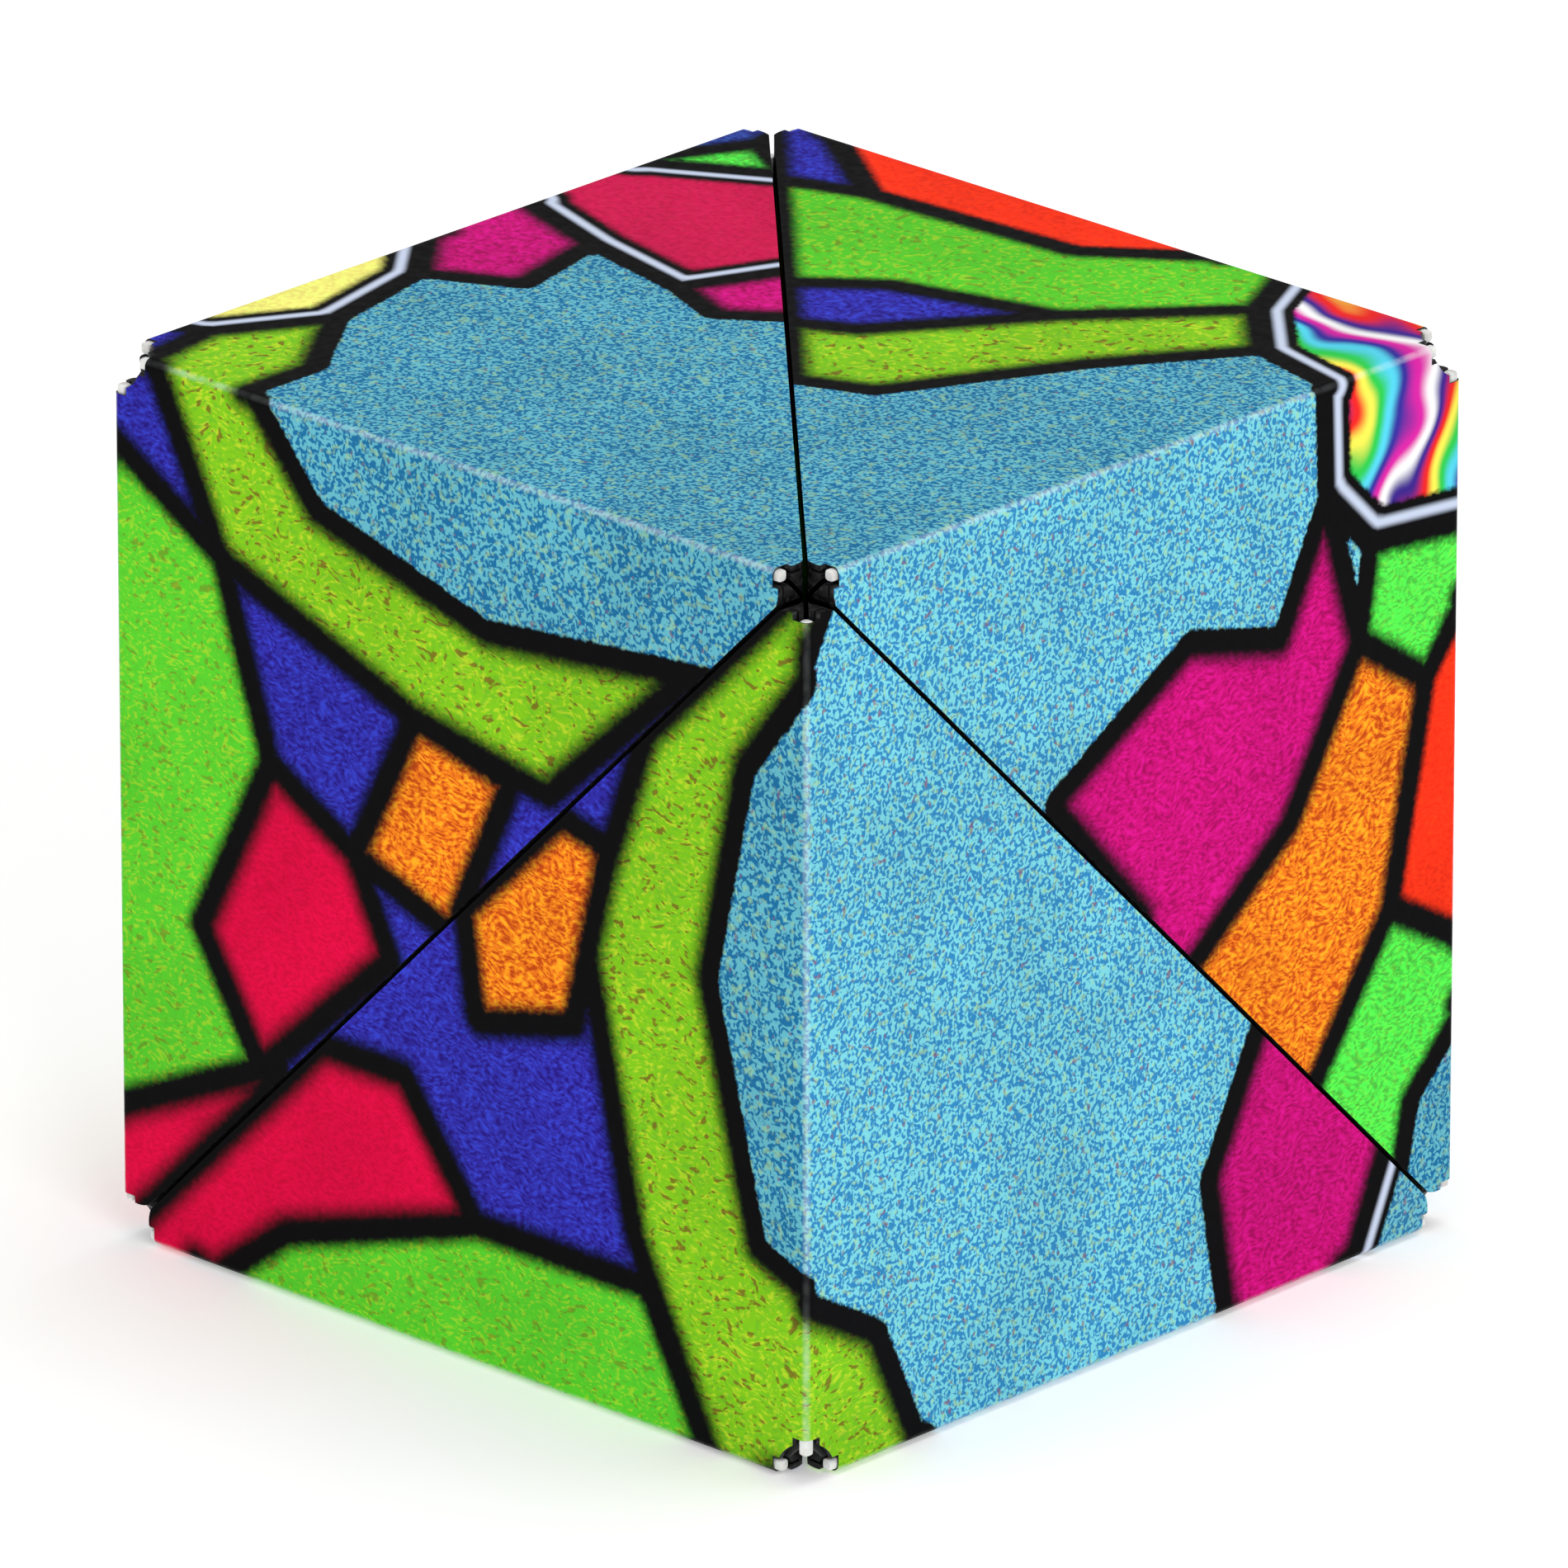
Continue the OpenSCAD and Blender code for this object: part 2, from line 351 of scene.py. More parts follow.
def set_print(mesh, place, names, edge, wear_and_highlight):
    """Stores the print on a mesh's points: place in mm, tint, edge distance and pattern weights, with a
    crease weight that lightens the print, partly wear and partly a painted highlight.
    """
    rows = [INKS[n] for n in names]
    fields = {
        "art": place,
        "tint": np.array([linear(r[0]) for r in rows]),
        "style": np.array([(r[1], r[2], r[3]) for r in rows], float),
        "grain": np.array([r[4] for r in rows], float),
        "extra": np.stack([np.array([r[5] for r in rows], float), wear_and_highlight, edge], axis=1),
    }
    for name, values in fields.items():
        layer = mesh.attributes.new(name, "FLOAT_VECTOR", "POINT")
        layer.data.foreach_set("vector", values.astype(np.float32).ravel())


# ---------------------------------------------------------------- materials

class Tree:
    """A material's node tree, with short calls for the nodes that it uses."""

    def __init__(self, name):
        self.material = bpy.data.materials.new(name)
        self.material.use_nodes = True
        self.nodes = self.material.node_tree.nodes
        self.links = self.material.node_tree.links
        self.shader = self.nodes["Principled BSDF"]

    def put(self, socket, value):
        if isinstance(value, bpy.types.NodeSocket):
            self.links.new(value, socket)
        else:
            socket.default_value = value

    def math(self, operation, a, b=0.0):
        n = self.nodes.new("ShaderNodeMath")
        n.operation = operation
        self.put(n.inputs[0], a)
        self.put(n.inputs[1], b)
        return n.outputs[0]

    def times(self, first, *others):
        """Product of two or more values."""
        for value in others:
            first = self.math("MULTIPLY", first, value)
        return first

    def vector(self, operation, a, b):
        n = self.nodes.new("ShaderNodeVectorMath")
        n.operation = operation
        self.put(n.inputs[0], a)
        self.put(n.inputs[1], b)
        return n.outputs[0]

    def attribute(self, name):
        n = self.nodes.new("ShaderNodeAttribute")
        n.attribute_name = name
        return n.outputs["Vector"]

    def split(self, vector):
        n = self.nodes.new("ShaderNodeSeparateXYZ")
        self.put(n.inputs[0], vector)
        return n.outputs

    def noise(self, vector, scale, detail=1.0, output="Fac"):
        n = self.nodes.new("ShaderNodeTexNoise")
        self.put(n.inputs["Vector"], vector)
        n.inputs["Scale"].default_value = scale
        n.inputs["Detail"].default_value = detail
        return n.outputs[output]

    def ramp(self, value, low, high, to_low=0.0, to_high=1.0):
        """Smooth step of value from low to high."""
        n = self.nodes.new("ShaderNodeMapRange")
        n.interpolation_type = "SMOOTHSTEP"
        for socket, v in zip(n.inputs, (value, low, high, to_low, to_high)):
            self.put(socket, v)
        return n.outputs[0]

    def mix(self, share, a, b, blend="MIX"):
        n = self.nodes.new("ShaderNodeMix")
        n.data_type = "RGBA"
        n.blend_type = blend
        colours = [s for s in n.inputs if s.type == "RGBA"]
        self.put(n.inputs[0], share)
        for socket, v in zip(colours, (a, b)):
            self.put(socket, v if isinstance(v, bpy.types.NodeSocket) else (*v, 1))
        return [s for s in n.outputs if s.type == "RGBA"][0]

    def bump(self, height, strength, distance):
        n = self.nodes.new("ShaderNodeBump")
        n.inputs["Strength"].default_value = strength
        n.inputs["Distance"].default_value = distance
        self.put(n.inputs["Height"], height)
        self.put(self.shader.inputs["Normal"], n.outputs[0])

    def surface(self, **values):
        """Sets the shader's own sockets."""
        for name, value in values.items():
            self.put(self.shader.inputs[name.replace("_", " ").title().replace("Ior", "IOR")], value)
        return self.material


def shifted(t, vector, amount):
    """The vector moved aside, so that a second noise differs from the first."""
    return t.vector("ADD", vector, (amount, amount * 0.7, amount * 1.3))


def maze_colour(t, art, tint):
    """Fine worm-like print: dark blue lines between pale ones, with yellow-green and red flecks."""
    warp = t.noise(art, 2.4, 0.0, "Color")
    bent = t.vector("ADD", art, t.vector("MULTIPLY", warp, (0.35, 0.35, 0.35)))
    worm = t.ramp(t.noise(bent, 3.9, 0.5), 0.43, 0.57)
    dark = t.mix(1.0, tint, (0.30, 0.50, 0.86), "MULTIPLY")
    pale = t.mix(0.42, tint, (0.34, 0.92, 0.96))
    colour = t.mix(worm, dark, pale)
    fleck = t.ramp(t.noise(shifted(t, art, 31.0), 2.1, 1.0), 0.56, 0.70)
    colour = t.mix(t.times(fleck, 0.55), colour, (0.42, 0.70, 0.30))
    spot = t.ramp(t.noise(shifted(t, art, 57.0), 2.3, 0.5), 0.70, 0.76)
    return t.mix(t.times(spot, 0.6), colour, (0.28, 0.07, 0.10))


def speckle_colour(t, slanted, colour, weight):
    """Brown and yellow speckles, a little stretched along the slant."""
    brown = t.ramp(t.noise(slanted, 1.9, 1.5), 0.585, 0.67)
    yellow = t.ramp(t.noise(shifted(t, slanted, 13.0), 3.0, 1.0), 0.50, 0.68)
    shade = t.ramp(t.noise(shifted(t, slanted, 29.0), 2.4, 1.0), 0.45, 0.70)
    colour = t.mix(t.times(yellow, 0.75, weight), colour, (0.60, 0.76, 0.03))
    colour = t.mix(t.times(shade, 0.35, weight), colour, (0.07, 0.42, 0.03))
    return t.mix(t.times(brown, 0.8, weight), colour, (0.20, 0.09, 0.015))


def streak_colour(t, slanted, colour, weight):
    """Light and dark grain that shifts the hue a little."""
    grain = t.noise(slanted, 3.0, 2.0)
    light = t.times(t.ramp(grain, 0.50, 0.68), weight)
    deep = t.times(t.ramp(grain, 0.50, 0.34), weight)
    lighter = t.mix(1.0, colour, (1.25, 2.10, 1.55), "MULTIPLY")
    deeper = t.mix(1.0, colour, (0.62, 0.34, 0.56), "MULTIPLY")
    colour = t.mix(light, colour, lighter)
    return t.mix(deep, colour, deeper)


def stripe_colour(t, art):
    """Wavy bands of bright colours."""
    bend = t.noise(art, 0.14, 1.0)
    x, y, z = t.split(t.vector("MULTIPLY", art, (0.02, 0.11, -0.03)))
    phase = t.math("ADD", t.math("ADD", x, y), t.math("ADD", z, t.times(bend, 1.1)))
    n = t.nodes.new("ShaderNodeValToRGB")
    t.put(n.inputs[0], t.math("FRACT", phase))
    bands = [(1, 1, 1), (0.05, 0.02, 0.28), (0.9, 0.02, 0.02), (1, 0.9, 0.1), (0.03, 0.62, 0.08),
             (0.1, 0.7, 0.9), (0.04, 0.03, 0.35), (0.75, 0.02, 0.4), (1, 1, 1)]
    ramp = n.color_ramp
    ramp.interpolation = "EASE"
    while len(ramp.elements) < len(bands):
        ramp.elements.new(0.5)
    for i, colour in enumerate(bands):
        ramp.elements[i].position = i / (len(bands) - 1)
        ramp.elements[i].color = (*colour, 1)
    return n.outputs[0]


def laminate():
    """Printed satin laminate: panel tint, its fine pattern, and soft black outlines, with a lighter band on
    the creases that is partly wear and partly a painted highlight.
    """
    t = Tree("printed_laminate")
    art = t.attribute("art")
    tint = t.attribute("tint")
    half, soft, glow = t.split(t.attribute("style"))
    maze, speckle, streak = t.split(t.attribute("grain"))
    stripes, wear_and_highlight, edge = t.split(t.attribute("extra"))
    drift = t.vector("MULTIPLY", t.noise(art, 0.5, 0.0, "Color"), (1.2, 1.2, 1.2))
    slanted = t.vector("MULTIPLY", t.vector("ADD", art, drift), (0.8, 0.8, 1.5))
    colour = t.mix(maze, tint, maze_colour(t, art, tint))
    colour = speckle_colour(t, slanted, colour, speckle)
    colour = streak_colour(t, slanted, colour, streak)
    colour = t.mix(stripes, colour, stripe_colour(t, art))
    cloud = t.ramp(t.noise(art, 0.12, 2.0), 0.3, 0.7, 0.92, 1.06)
    colour = t.mix(1.0, colour, t.vector("MULTIPLY", (1, 1, 1), cloud), "MULTIPLY")
    jitter = t.times(t.math("SUBTRACT", t.noise(art, 3.0, 1.0), 0.5), 0.35)
    rough_edge = t.math("ADD", edge, jitter)
    clear = t.ramp(rough_edge, half, t.math("ADD", half, soft))
    colour = t.mix(clear, (0.0022, 0.0020, 0.0026), colour)
    near_line = t.math("ABSOLUTE", t.math("SUBTRACT", edge, 1.15))
    line = t.times(t.ramp(near_line, 0.55, 0.05), glow)
    colour = t.mix(line, colour, (0.62, 0.70, 0.88))
    # Crease band: the print is lightened towards white on the bend of a crease, partly wear of the print
    # and partly a painted highlight of the rounded edge.
    patchy = t.ramp(t.noise(art, 1.1, 3.0), 0.30, 0.62, 0.25, 0.8)
    wear_and_highlight_mix = t.times(wear_and_highlight, patchy, t.math("ADD", t.times(clear, 0.75), 0.12))
    colour = t.mix(wear_and_highlight_mix, colour, t.mix(0.42, colour, (0.85, 0.9, 0.9)))
    relief = t.math("ADD", t.noise(art, 0.45, 2.0), t.times(t.noise(art, 5.0, 1.0), 0.12))
    t.bump(relief, 0.25, 0.00012)
    return t.surface(base_color=colour, roughness=t.ramp(t.noise(art, 1.3, 3.0), 0.3, 0.7, 0.36, 0.48),
                     specular_ior_level=0.025)


def object_place(t):
    """Place on the object itself, in mm."""
    n = t.nodes.new("ShaderNodeTexCoord")
    return t.vector("MULTIPLY", n.outputs["Object"], (1 / MM, 1 / MM, 1 / MM))


def film_edge():
    """Cut edge and underside of the laminate: black ink over a grey core."""
    t = Tree("laminate_edge")
    place = object_place(t)
    colour = t.mix(t.ramp(t.noise(place, 2.5, 2.0), 0.45, 0.65), (0.004, 0.004, 0.005), (0.03, 0.03, 0.032))
    t.bump(t.noise(place, 6.0, 1.0), 0.3, 0.00005)
    return t.surface(base_color=colour, roughness=t.ramp(t.noise(place, 3.0), 0.3, 0.7, 0.45, 0.65),
                     specular_ior_level=0.25)


def crease_core():
    """Soft white film core of a crease."""
    t = Tree("white_crease_core")
    place = object_place(t)
    colour = t.mix(t.ramp(t.noise(place, 1.5, 3.0), 0.35, 0.7), (0.86, 0.86, 0.84), (0.66, 0.66, 0.64))
    t.bump(t.noise(place, 4.0, 2.0), 0.4, 0.00008)
    return t.surface(base_color=colour, roughness=t.ramp(t.noise(place, 2.0, 2.0), 0.3, 0.7, 0.42, 0.6),
                     subsurface_weight=0.15, subsurface_scale=0.0006)


def moulded_plastic():
    """Black moulded plastic with a fine spark-eroded grain."""
    t = Tree("black_moulded_plastic")
    place = object_place(t)
    colour = t.mix(t.ramp(t.noise(place, 0.6, 3.0), 0.3, 0.7), (0.007, 0.007, 0.008), (0.014, 0.014, 0.015))
    t.bump(t.noise(place, 3.5, 2.0), 0.35, 0.00008)
    return t.surface(base_color=colour, roughness=t.ramp(t.noise(place, 2.2, 2.0), 0.3, 0.7, 0.42, 0.58),
                     specular_ior_level=0.35)


def nickel():
    """Bright nickel plating with faint tumbling marks."""
    t = Tree("nickel_plating")
    place = object_place(t)
    colour = t.mix(t.ramp(t.noise(place, 0.8, 3.0), 0.3, 0.7), (0.74, 0.72, 0.68), (0.62, 0.60, 0.57))
    t.bump(t.noise(place, 2.5, 3.0), 0.2, 0.00004)
    return t.surface(base_color=colour, metallic=1.0,
                     roughness=t.ramp(t.noise(place, 1.6, 3.0), 0.3, 0.7, 0.18, 0.34))


# ---------------------------------------------------------------- pieces

def new_piece(name, vertices, faces, materials):
    """An object from vertices in mm, given from the cube's centre."""
    mesh = bpy.data.meshes.new(name)
    mesh.from_pydata([tuple(v) for v in (np.asarray(vertices) + CENTRE) * MM], [], faces)
    for material in materials:
        mesh.materials.append(material)
    obj = bpy.data.objects.new(name, mesh)
    bpy.context.scene.collection.objects.link(obj)
    return obj


# The four sides of a module in its own frame, outer face first: outward normal, the two directions
# of the side's own coordinates, the spacing of the points that carry the print, and the origin
ROOT = math.sqrt(0.5)
PLANES = [
    ((0, 0, 1), (1, 0, 0), (0, 1, 0), 0.7, (0, 0, HALF)),
    ((0, ROOT, -ROOT), (1, 0, 0), (0, -ROOT, -ROOT), 1.0, (0, HALF, HALF)),
    ((ROOT, 0, -ROOT), (0, 1, 0), (-ROOT, 0, -ROOT), 1.0, (HALF, 0, HALF)),
    ((-ROOT, -ROOT, 0), (ROOT, -ROOT, 0), (0, 0, -1), 1.0, (0, 0, HALF)),
]
EDGE_STEP = 0.7      # length of the pieces a sharp film edge is divided into, mm
RIM_GAP = 0.05       # points this near the outer face's points take its print, mm
INNER_BORDER = 0.8   # an inner side's print starts this far from its outer edge, mm
SHARP = 0.02         # edges bent more than this are divided, radians


def film_solid(k):
    """The CAD film of module k in the module's own frame, in mm: points, faces and face normals.
    Its sharp edges are divided, so that the printed sides have points all along them."""
    bm = bmesh.new()
    bm.from_mesh(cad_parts["print_film_%02d" % k].data)
    bmesh.ops.remove_doubles(bm, verts=bm.verts, dist=WELD)
    sharp = [e for e in bm.edges if len(e.link_faces) == 2 and e.calc_face_angle() > SHARP]
    for edge in sharp:
        cuts = int(edge.calc_length() / (EDGE_STEP * MM))
        vert = edge.verts[0]
        for i in range(cuts):
            edge, vert = bmesh.utils.edge_split(edge, vert, 1 / (cuts + 1 - i))
            edge = next(e for e in vert.link_edges if e != edge)
    bm.normal_update()
    axes = module_axes(k)
    bm.verts.index_update()
    points = np.array([v.co for v in bm.verts]) / MM - CENTRE
    faces = [[v.index for v in f.verts] for f in bm.faces]
    normals = np.array([f.normal for f in bm.faces]) @ axes
    bm.free()
    return points @ axes, turned(faces, k), normals


def turned(faces, k):
    """Faces in reverse order where module k is a mirror image of its own frame."""
    mirrored = np.linalg.det(module_axes(k)) < 0
    return [f[::-1] for f in faces] if mirrored else faces


def on_plane(points, faces, normals, normal):
    """Indices of the faces that lie on the body's outermost plane with that normal."""
    normal = np.array(normal)
    height = points @ normal
    top = height.max() - 2e-3
    facing = normals @ normal > 0.999
    return [i for i, f in enumerate(faces) if facing[i] and (height[f] > top).all()]


def loops_of(faces):
    """The outline of a set of faces as closed loops of point indices."""
    edges = {}
    for f in faces:
        for a, b in zip(f, f[1:] + f[:1]):
            edges[(a, b)] = True
    nexts = {a: b for a, b in edges if (b, a) not in edges}
    loops = []
    while nexts:
        start, current = next(iter(nexts.items()))
        loop = [start]
        del nexts[start]
        while current != start:
            loop.append(current)
            current = nexts.pop(current)
        loops.append(loop)
    return loops


def grid_points(flat, loops, spacing):
    """A triangular grid of points inside the loops, clear of their edges."""
    low, high = flat.min(0), flat.max(0)
    rows = []
    for r, y in enumerate(np.arange(low[1], high[1], spacing * math.sqrt(0.75))):
        xs = np.arange(low[0] + (r % 2) * spacing / 2, high[0], spacing)
        rows.append(np.stack([xs, np.full(len(xs), y)], axis=1))
    points = np.concatenate(rows)
    within = np.zeros(len(points), bool)
    gap = np.full(len(points), 9.0)
    for loop in loops:
        ring = [tuple(p) for p in flat[loop]]
        within ^= inside(points, ring)
        for a, b in zip(ring, ring[1:] + ring[:1]):
            a, b = np.array(a), np.array(b)
            d = b - a
            t = np.clip((points - a) @ d / max(d @ d, 1e-12), 0, 1)
            gap = np.minimum(gap, np.linalg.norm(points - a - t[:, None] * d, axis=1))
    return points[within & (gap > 0.4 * spacing)]


def fine_facet(points, faces, plane, chosen):
    """Finely divides one flat side: new points and faces, and the flat coordinates of its points."""
    normal, across, down, spacing, _ = plane
    loops = loops_of([faces[i] for i in chosen])
    used = sorted({i for loop in loops for i in loop})
    basis = np.array([across, down], float).T
    flat_all = points @ basis
    grid = grid_points(flat_all, loops, spacing)
    order = {v: i for i, v in enumerate(used)}
    flat = np.concatenate([flat_all[used], grid])
    segments = [(order[a], order[b]) for loop in loops for a, b in zip(loop, loop[1:] + loop[:1])]
    co, _, tris, _, _, _ = delaunay_2d_cdt([Vector(p) for p in flat], segments, [], 2, 1e-7)
    co = np.array(co)
    height = (points[used] @ np.array(normal)).mean()
    return co @ basis.T + height * np.array(normal), [list(f) for f in tris], co


def rim_points(points, outer):
    """Which points lie on the outer face's own points."""
    tree = tree_of(outer)
    return np.array([tree.find(p)[2] < RIM_GAP for p in points])


def inner_side_print(k, i, flat, points, border):
    """Ink names and edge distances on inner side i of module k, with ink along its outline."""
    _, across, down, _, origin = PLANES[i]
    own = flat - np.array([np.dot(origin, across), np.dot(origin, down)])
    found, edge = inner_print(own, k + 2 * i)
    return found, np.minimum(np.minimum(edge, own[:, 1] - INNER_BORDER), distances(points, border))


def print_sources(points, sides, outer):
    """For each CAD point and each fine point, the fine point whose print it takes."""
    finder, rim = tree_of(sides), tree_of(outer)
    sources = [finder.find(p)[1] for p in points] + list(range(len(sides)))
    for i, p in enumerate(np.concatenate([points, sides])):
        _, j, gap = rim.find(p)
        if gap < RIM_GAP:
            sources[i] = j
    return sources


def face_film(k, materials):
    """The printed laminate of module k: CAD outline, finely divided sides that carry the print."""
    points, faces, normals = film_solid(k)
    axes = module_axes(k)
    tree = edge_tree(neighbour(k, -1), k, neighbour(k, 1))
    printed, sides, all_faces, slots, names, edges = set(), [], [], [], [], []
    count = len(points)
    for i, plane in enumerate(PLANES):
        chosen = on_plane(points, faces, normals, plane[0])
        printed |= set(chosen)
        new, tris, flat = fine_facet(points, faces, plane, chosen)
        if np.cross(plane[1], plane[2]) @ np.array(plane[0]) < 0:
            tris = [f[::-1] for f in tris]
        if i == 0:
            found, edge = face_print(new @ axes.T, k, tree)
            shared = np.zeros(len(new), bool)
        else:
            loops = loops_of([faces[j] for j in chosen])
            border = tree_of([points[j] for loop in loops for j in loop])
            found, edge = inner_side_print(k, i, flat, new, border)
            shared = rim_points(new, sides[0])
        sides.append(new)
        all_faces += [[j + count for j in f] for f in tris]
        slots += [int(shared[f].any()) for f in tris]
        names += found
        edges.append(edge)
        count += len(new)
    rest = [f for i, f in enumerate(faces) if i not in printed]
    all_faces += rest
    slots += [1] * len(rest)
    fine = np.concatenate(sides)
    sources = print_sources(points, fine, sides[0])
    place = np.concatenate([points, fine]) @ axes.T
    obj = new_piece("laminate_%02d" % k, place, turned(all_faces, k), materials)
    obj.data.polygons.foreach_set("material_index", slots)
    set_print(obj.data, place, [names[i] for i in sources], np.concatenate(edges)[sources],
              np.zeros(len(place)))
    weld(obj.data)
    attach(obj, body(k))
    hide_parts("print_film_%02d" % k)


def weld(mesh):
    """Joins the finely divided sides to the rest of the film."""
    bm = bmesh.new()
    bm.from_mesh(mesh)
    bmesh.ops.remove_doubles(bm, verts=bm.verts, dist=WELD)
    loose = [v for v in bm.verts if not v.link_faces]
    bmesh.ops.delete(bm, geom=loose, context="VERTS")
    bm.to_mesh(mesh)
    bm.free()


def crease_directions(k):
    """Outward normals of the two faces that crease k joins, and the direction along it."""
    a = module_axes(neighbour(k, -1))[:, 2]
    b = module_axes(k)[:, 2]
    return a, b, np.cross(a, b)


FILM_T = 0.08        # thickness of the crease film, mm
CREASE_STOP = 2.75   # from a cube corner to the end of the crease film, mm
OPEN_TAB = 0.28      # how far the two halves of the open crease's film reach back over the faces, mm
CREASE_STEP = 0.7    # spacing of the crease film's points along the crease, mm
CORE_STOP = 2.25     # from a cube corner to the end of the white core, mm
CORE_ROUND = 3.2     # power of the core's superellipse section
CORE_RINGS = [(0, 0.28), (0.06, 0.345), (0.4, 0.355), (2, 0.34)]   # from a core's end, half width, mm
CORE_SLIP = {1: -0.55, 5: 0.15, 9: -0.15}   # how far a core has slipped along its crease, mm


def crease_section(first, last, inset, tab):
    """Points of the crease film's section from angle first to last, as (along a, along b)."""
    r = CREASE_R - inset
    rows = []
    if first == 0:
        rows += [(AXIS + r, b) for b in (AXIS - tab, AXIS - tab / 2)]
    for angle in np.linspace(first, last, 4 + int(abs(last - first) / 15)):
        rows.append((AXIS + r * math.cos(math.radians(angle)), AXIS + r * math.sin(math.radians(angle))))
    if last == 90:
        rows += [(a, AXIS + r) for a in (AXIS - tab / 2, AXIS - tab)]
    return rows


def tube_faces(rings, n):
    """Faces of a closed tube of rings with n points each: its sides, then its two ends."""
    faces = []
    for i in range(rings - 1):
        for j in range(n):
            m = (j + 1) % n
            faces.append([i * n + j, i * n + m, (i + 1) * n + m, (i + 1) * n + j])
    faces.append(list(range(n))[::-1])
    faces.append([(rings - 1) * n + j for j in range(n)])
    return faces


def swept(section, reach, steps, directions):
    """Points and faces of a closed section swept along a crease, with closed ends."""
    a, b, along = directions
    points = []
    for s in np.linspace(-reach, reach, steps):
        points += [p * a + q * b + s * along for p, q in section]
    return np.array(points), tube_faces(steps, len(section))


def crease_film(k, name, first, last, materials):
    """The printed film over crease k, from angle first to last around its axis."""
    directions = crease_directions(k)
    tab = AXIS - SEAM if last - first == 90 else OPEN_TAB
    outer = crease_section(first, last, 0, tab)
    inner = crease_section(first, last, FILM_T, tab)[::-1]
    reach = HALF - CREASE_STOP
    steps = int(2 * reach / CREASE_STEP)
    points, faces = swept(outer + inner, reach, steps, directions)
    obj = new_piece(name, points, faces, materials)
    n = len(outer) + len(inner)
    printed = [0 if (i % n) < len(outer) - 1 else 1 for i in range((steps - 1) * n)] + [1, 1]
    obj.data.polygons.foreach_set("material_index", printed)
    a, b, _ = directions
    on_b = points @ b > points @ a
    tree = edge_tree(neighbour(k, -1), k)
    names_a, edge = face_print(points, neighbour(k, -1), tree)
    names_b, _ = face_print(points, k, tree)
    names = [nb if side else na for na, nb, side in zip(names_a, names_b, on_b)]
    # Weight of the lighter crease band on the bend: partly wear of the print, partly a painted highlight.
    bend = np.clip((np.minimum(points @ a, points @ b) - AXIS - 0.1) / 0.2, 0, 1)
    set_print(obj.data, points, names, edge, bend)
    fix_normals(obj.data)
    return obj


def fix_normals(mesh):
    bm = bmesh.new()
    bm.from_mesh(mesh)
    bmesh.ops.recalc_face_normals(bm, faces=bm.faces)
    bm.to_mesh(mesh)
    bm.free()


SMOOTH_ANGLE = 40    # edges sharper than this stay sharp, degrees


def smooth(obj):
    """Smooth shading except across sharp edges."""
    bpy.context.view_layer.objects.active = obj
    obj.select_set(True)
    bpy.ops.object.shade_smooth_by_angle(angle=math.radians(SMOOTH_ANGLE))
    obj.select_set(False)


def crease_piece(k, materials):
    """The crease film curves around the crease between its two modules and stays where it is built; at the
    ring's open pivot it is cut in two, each half attached to its own module.
    """
    before = neighbour(k, -1)
    node = "film_hinge_%02d" % k
    if k == OPEN_PIVOT:
        for half, angles, owner in (("a", (0, 45), before), ("b", (45, 90), k)):
            obj = crease_film(k, "crease_film_%02d%s" % (k, half), *angles, materials)
            smooth(obj)
            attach(obj, body(owner))
            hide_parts(node)
        return
    obj = crease_film(k, "crease_film_%02d" % k, 0, 90, materials)
    smooth(obj)
    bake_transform(obj)
    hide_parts(node)


def core_section(size):
    """A rounded square with that half width."""
    angles = np.radians(np.arange(0, 360, 15))
    c, s = np.cos(angles), np.sin(angles)
    power = 2 / CORE_ROUND
    return np.stack([np.sign(c) * abs(c) ** power, np.sign(s) * abs(s) ** power], axis=1) * size


def core_piece(k, material):
    """The white core of crease k: a rounded square section with softened ends."""
    a, b, along = crease_directions(k)
    reach = HALF - CORE_STOP
    rings = [(-reach + s, size) for s, size in CORE_RINGS]
    rings += [(-s, size) for s, size in rings[::-1]]
    slip = CORE_SLIP.get(k, 0) * (1 if along.sum() > 0 else -1)
    points = []
    for s, size in rings:
        section = core_section(size)
        points += [(AXIS + p) * a + (AXIS + q) * b + (s + slip) * along for p, q in section]
    faces = tube_faces(len(rings), len(section))
    obj = new_piece("crease_core_%02d" % k, points, faces, [material])
    fix_normals(obj.data)
    smooth(obj)
    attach(obj, body(k))


def dress_node(name, material):
    """Gives a CAD node its material."""
    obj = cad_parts[name]
    if not obj.material_slots:
        obj.data.materials.append(material)
    for slot in obj.material_slots:
        slot.link = "OBJECT"
        slot.material = material


def dress_nodes():
    plastic = moulded_plastic()
    plating = nickel()
    for k in range(1, COUNT + 1):
        dress_node("housing_%02d" % k, plastic)
        dress_node("lid_%02d" % k, plastic)
        dress_node("magnets_%02d" % k, plating)


# ---------------------------------------------------------------- stage, camera and light

FLOOR_HALF = 4.0     # half the floor's edge, m
FLOOR_GAP = 0.0002   # how far the floor lies below the cube, m
CAMERA_AZIMUTH = 43.45
CAMERA_ELEVATION = 21.18
CAMERA_DISTANCE = 1.3745                # m
CAMERA_TARGET = (-0.17, -0.16, 28.73)   # mm


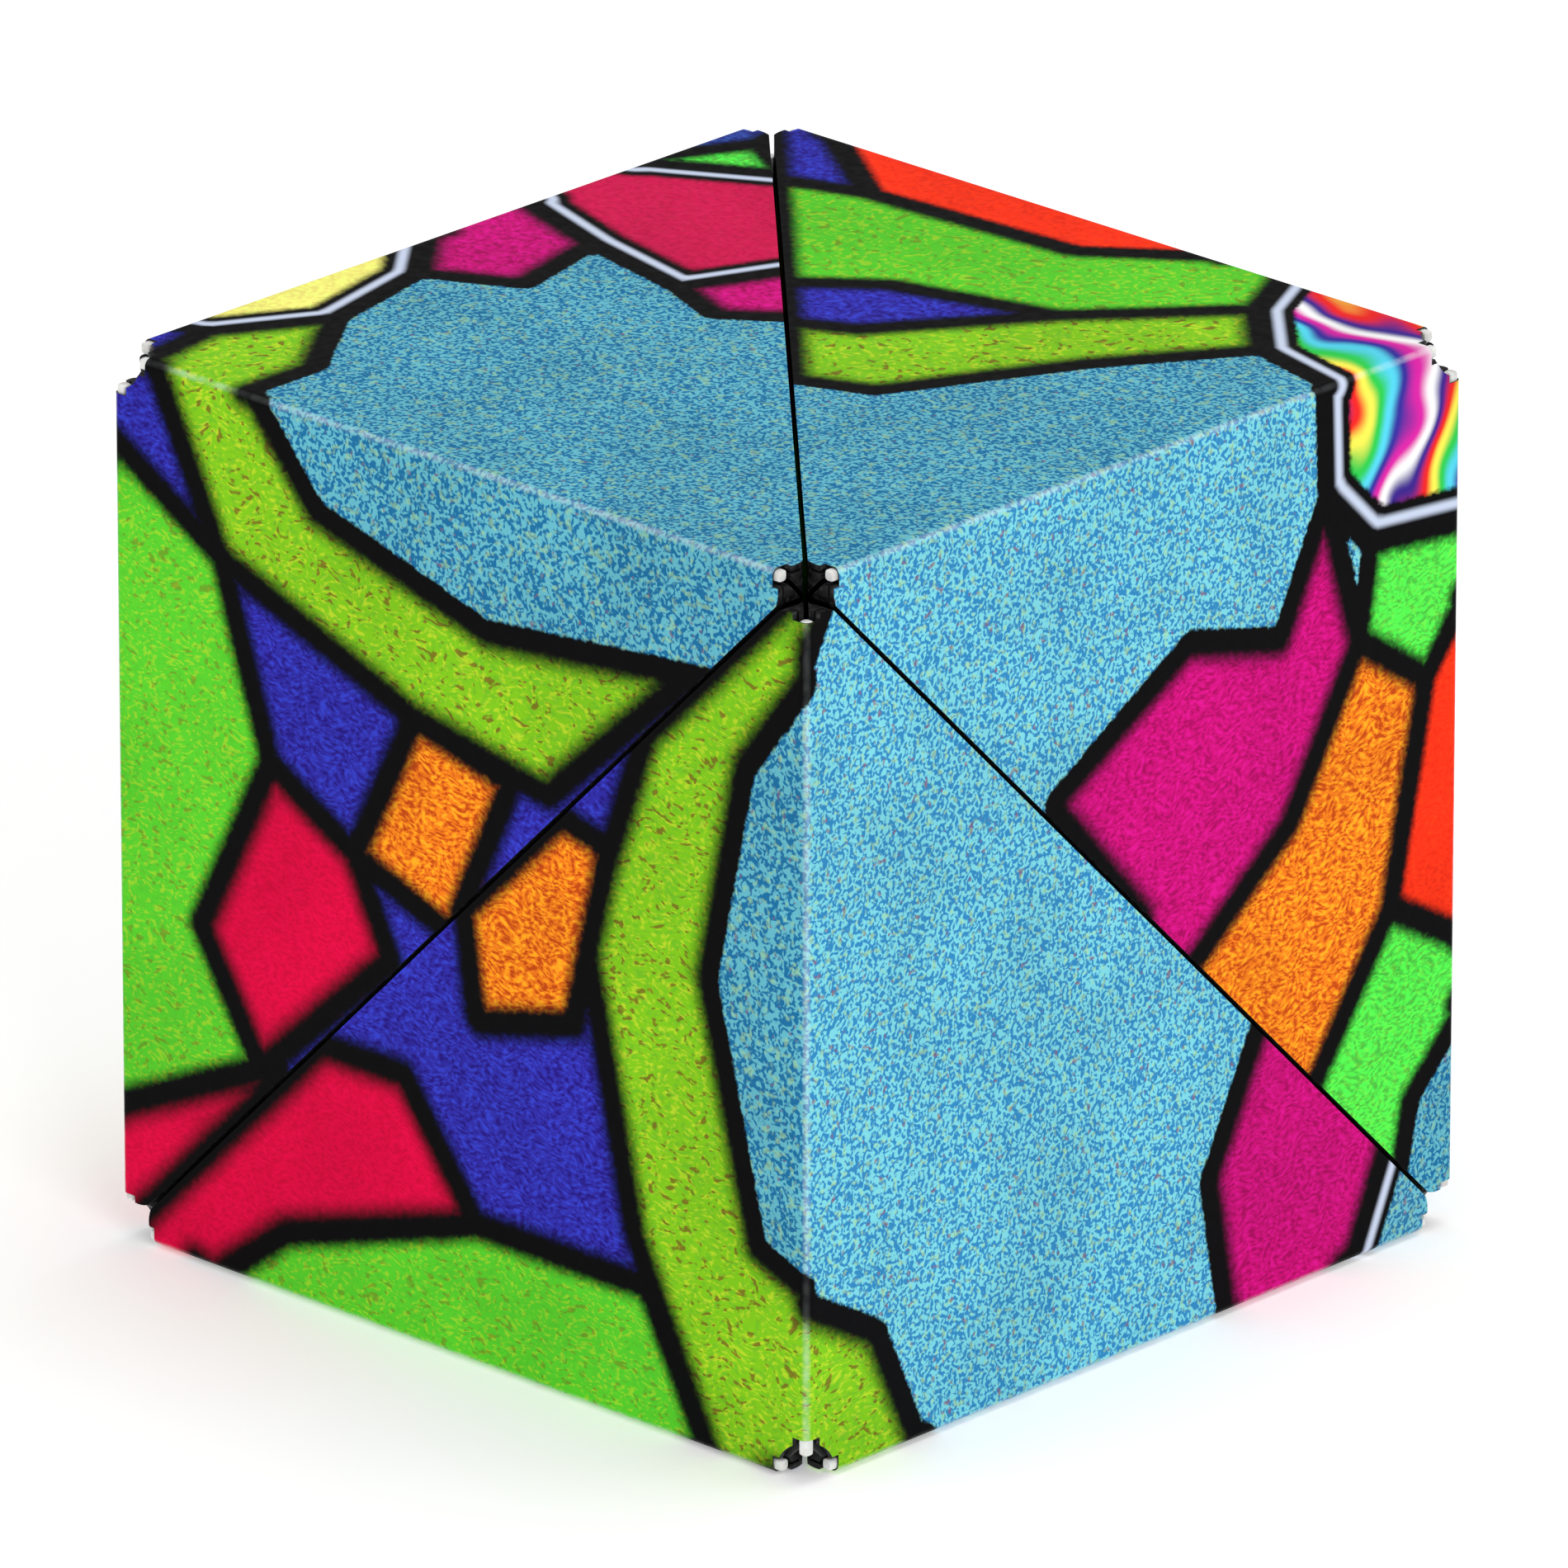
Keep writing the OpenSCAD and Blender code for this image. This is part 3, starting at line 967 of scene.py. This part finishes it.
def floor():
    """A plain pale floor."""
    mesh = bpy.data.meshes.new("floor")
    r = FLOOR_HALF
    mesh.from_pydata([(-r, -r, 0), (r, -r, 0), (r, r, 0), (-r, r, 0)], [], [(0, 1, 2, 3)])
    obj = bpy.data.objects.new("floor", mesh)
    bpy.context.scene.collection.objects.link(obj)
    obj.location.z = -FLOOR_GAP
    material = bpy.data.materials.new("pale_floor")
    material.use_nodes = True
    shader = material.node_tree.nodes["Principled BSDF"]
    shader.inputs["Base Color"].default_value = (0.86, 0.86, 0.86, 1)
    shader.inputs["Roughness"].default_value = 0.9
    shader.inputs["Specular IOR Level"].default_value = 0.0
    shader.inputs["Emission Color"].default_value = (1, 1, 1, 1)
    shader.inputs["Emission Strength"].default_value = 0.30
    mesh.materials.append(material)


def aim(obj, target):
    direction = Vector(target) - obj.location
    obj.rotation_euler = direction.to_track_quat("-Z", "Y").to_euler()


def camera():
    azimuth, elevation = math.radians(CAMERA_AZIMUTH), math.radians(CAMERA_ELEVATION)
    target = Vector(CAMERA_TARGET) * MM
    away = Vector((math.sin(azimuth) * math.cos(elevation), -math.cos(azimuth) * math.cos(elevation),
                   math.sin(elevation)))
    data = bpy.data.cameras.new("camera")
    data.sensor_width = 36.0
    data.lens = 525.0
    data.clip_start = 0.01
    data.clip_end = 50.0
    obj = bpy.data.objects.new("camera", data)
    bpy.context.scene.collection.objects.link(obj)
    obj.location = target + away * CAMERA_DISTANCE
    aim(obj, target)
    bpy.context.scene.camera = obj


def lamp(name, place, size, watts):
    """A square soft light, aimed at the cube."""
    data = bpy.data.lights.new(name, "AREA")
    data.shape = "SQUARE"
    data.size = size
    data.energy = watts
    obj = bpy.data.objects.new(name, data)
    bpy.context.scene.collection.objects.link(obj)
    obj.location = place
    aim(obj, (0, 0, 0.03))


def light():
    """Even studio light: a pale world and three soft lamps."""
    world = bpy.data.worlds.new("studio")
    world.use_nodes = True
    background = world.node_tree.nodes["Background"]
    background.inputs["Color"].default_value = (1, 1, 1, 1)
    background.inputs["Strength"].default_value = 0.42
    bpy.context.scene.world = world
    lamp("key_light", (0.9, -0.45, 0.55), 0.5, 3.9)
    lamp("fill_light", (-0.5, -0.9, 0.5), 0.6, 1.9)
    lamp("top_light", (0.1, 0.2, 1.1), 0.7, 5.0)
    settings = bpy.context.scene.view_settings
    settings.view_transform = "Standard"
    settings.look = "None"


def build():
    camera()
    print_materials = [laminate(), film_edge()]
    core = crease_core()
    for k in range(1, COUNT + 1):
        face_film(k, print_materials)
        crease_piece(k, print_materials)
        core_piece(k, core)
    dress_nodes()
    floor()
    light()


build()
